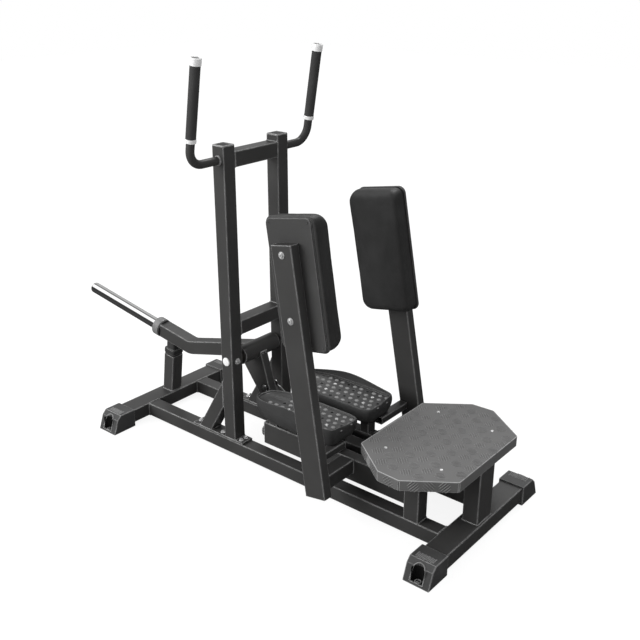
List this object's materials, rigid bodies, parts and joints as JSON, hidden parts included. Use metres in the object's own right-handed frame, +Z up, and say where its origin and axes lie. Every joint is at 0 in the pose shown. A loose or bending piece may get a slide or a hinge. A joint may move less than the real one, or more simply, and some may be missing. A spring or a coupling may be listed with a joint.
{
  "type": "standing hip abductor machine",
  "caption": "Plate-loaded standing hip abductor: two hinged leg arms with thigh pads and foot pedals, linked to a weight lever with a plate horn, on a square-tube frame with handles and a step.",
  "frame": {"origin": "under the middle of the machine's bounding box, at floor level", "axes": "+X towards the step, +Y towards the user's right, +Z up; the user faces -X"},
  "size_m": [2.203, 0.764, 1.6307],
  "materials": {
    "frame_paint": "satin charcoal powder coat",
    "black_rubber": "matt moulded rubber",
    "tread_sheet": "grey coated tread plate",
    "bright_chrome": "polished chrome",
    "plain_steel": "machined steel",
    "silver_cap": "polished aluminium",
    "bronze_bush": "sintered bronze",
    "pad_board": "black moulded backing board",
    "pad_leather": "black upholstery leather over foam",
    "pedal_plastic": "textured black plastic"
  },
  "bodies": {
    "frame": {"front_crossbeam": "frame_paint", "rear_crossbeam": "frame_paint", "left_base_rail": "frame_paint", "right_base_rail": "frame_paint", "left_upright": "frame_paint", "right_upright": "frame_paint", "left_brace": "frame_paint", "right_brace": "frame_paint", "top_crossbar": "frame_paint", "mid_crossbar": "frame_paint", "left_handle": "frame_paint", "right_handle": "frame_paint", "stop_post": "frame_paint", "centre_spine": "frame_paint", "left_step_leg": "frame_paint", "right_step_leg": "frame_paint", "front_step_leg": "frame_paint", "front_left_foot_cap": "black_rubber", "front_right_foot_cap": "black_rubber", "rear_left_foot_cap": "black_rubber", "rear_right_foot_cap": "black_rubber", "left_hand_grip": "black_rubber", "left_handle_cap": "silver_cap", "left_top_plug": "black_rubber", "left_leg_shaft": "plain_steel", "right_hand_grip": "black_rubber", "right_handle_cap": "silver_cap", "right_top_plug": "black_rubber", "right_leg_shaft": "plain_steel", "weight_pivot_axle": "bright_chrome", "stop_bumper": "black_rubber", "step_plate": "tread_sheet"},
    "weight_lever": {"weight_lever_tube": "frame_paint", "pivot_sleeve": "frame_paint", "left_sleeve_bush": "bronze_bush", "right_sleeve_bush": "bronze_bush", "horn_collar": "plain_steel", "weight_horn": "bright_chrome", "crank_arm": "frame_paint", "crank_pin": "plain_steel"},
    "left_leg": {"left_leg_arm": "frame_paint", "left_leg_beam": "frame_paint", "left_leg_cross_tube": "frame_paint", "left_pedal_bracket": "frame_paint", "left_pad_board": "pad_board", "left_pad_cushion": "pad_leather", "left_upper_pad_bolt": "bright_chrome", "left_lower_pad_bolt": "bright_chrome", "left_pedal": "pedal_plastic"},
    "right_leg": {"right_leg_arm": "frame_paint", "right_leg_beam": "frame_paint", "right_leg_cross_tube": "frame_paint", "right_pedal_bracket": "frame_paint", "right_pad_board": "pad_board", "right_pad_cushion": "pad_leather", "right_upper_pad_bolt": "bright_chrome", "right_lower_pad_bolt": "bright_chrome", "right_pedal": "pedal_plastic"},
    "left_link": {"left_link_rod": "plain_steel"},
    "right_link": {"right_link_rod": "plain_steel"}
  },
  "joints": [
    {"name": "left_leg_hinge", "type": "hinge", "parent": "frame", "child": "left_leg", "pos_m": [0.12404, -0.095, 0.137], "axis": [1, 0, 0], "range_deg": [0, 24]},
    {"name": "right_leg_hinge", "type": "hinge", "parent": "frame", "child": "right_leg", "pos_m": [0.12404, 0.095, 0.137], "axis": [-1, 0, 0], "range_deg": [0, 24]},
    {"name": "weight_lever_hinge", "type": "hinge", "parent": "frame", "child": "weight_lever", "pos_m": [-0.01696, 0, 0.434], "axis": [0, 1, 0], "range_deg": [0, 3.86]},
    {"name": "left_link_hinge", "type": "hinge", "parent": "weight_lever", "child": "left_link", "pos_m": [0.05015, -0.034, 0.28326], "axis": [-0.3201, -0.9066, -0.2749], "range_deg": [0, 11]},
    {"name": "right_link_hinge", "type": "hinge", "parent": "weight_lever", "child": "right_link", "pos_m": [0.05015, 0.034, 0.28326], "axis": [0.3201, -0.9066, 0.2749], "range_deg": [0, 11]}
  ],
  "couplings": [
    {"joint": "right_leg_hinge", "follows": "left_leg_hinge", "ratio": 1},
    {"joint": "weight_lever_hinge", "follows": "left_leg_hinge", "ratio": 0.16069},
    {"joint": "left_link_hinge", "follows": "left_leg_hinge", "ratio": 0.45817},
    {"joint": "right_link_hinge", "follows": "left_leg_hinge", "ratio": 0.45817}
  ]
}
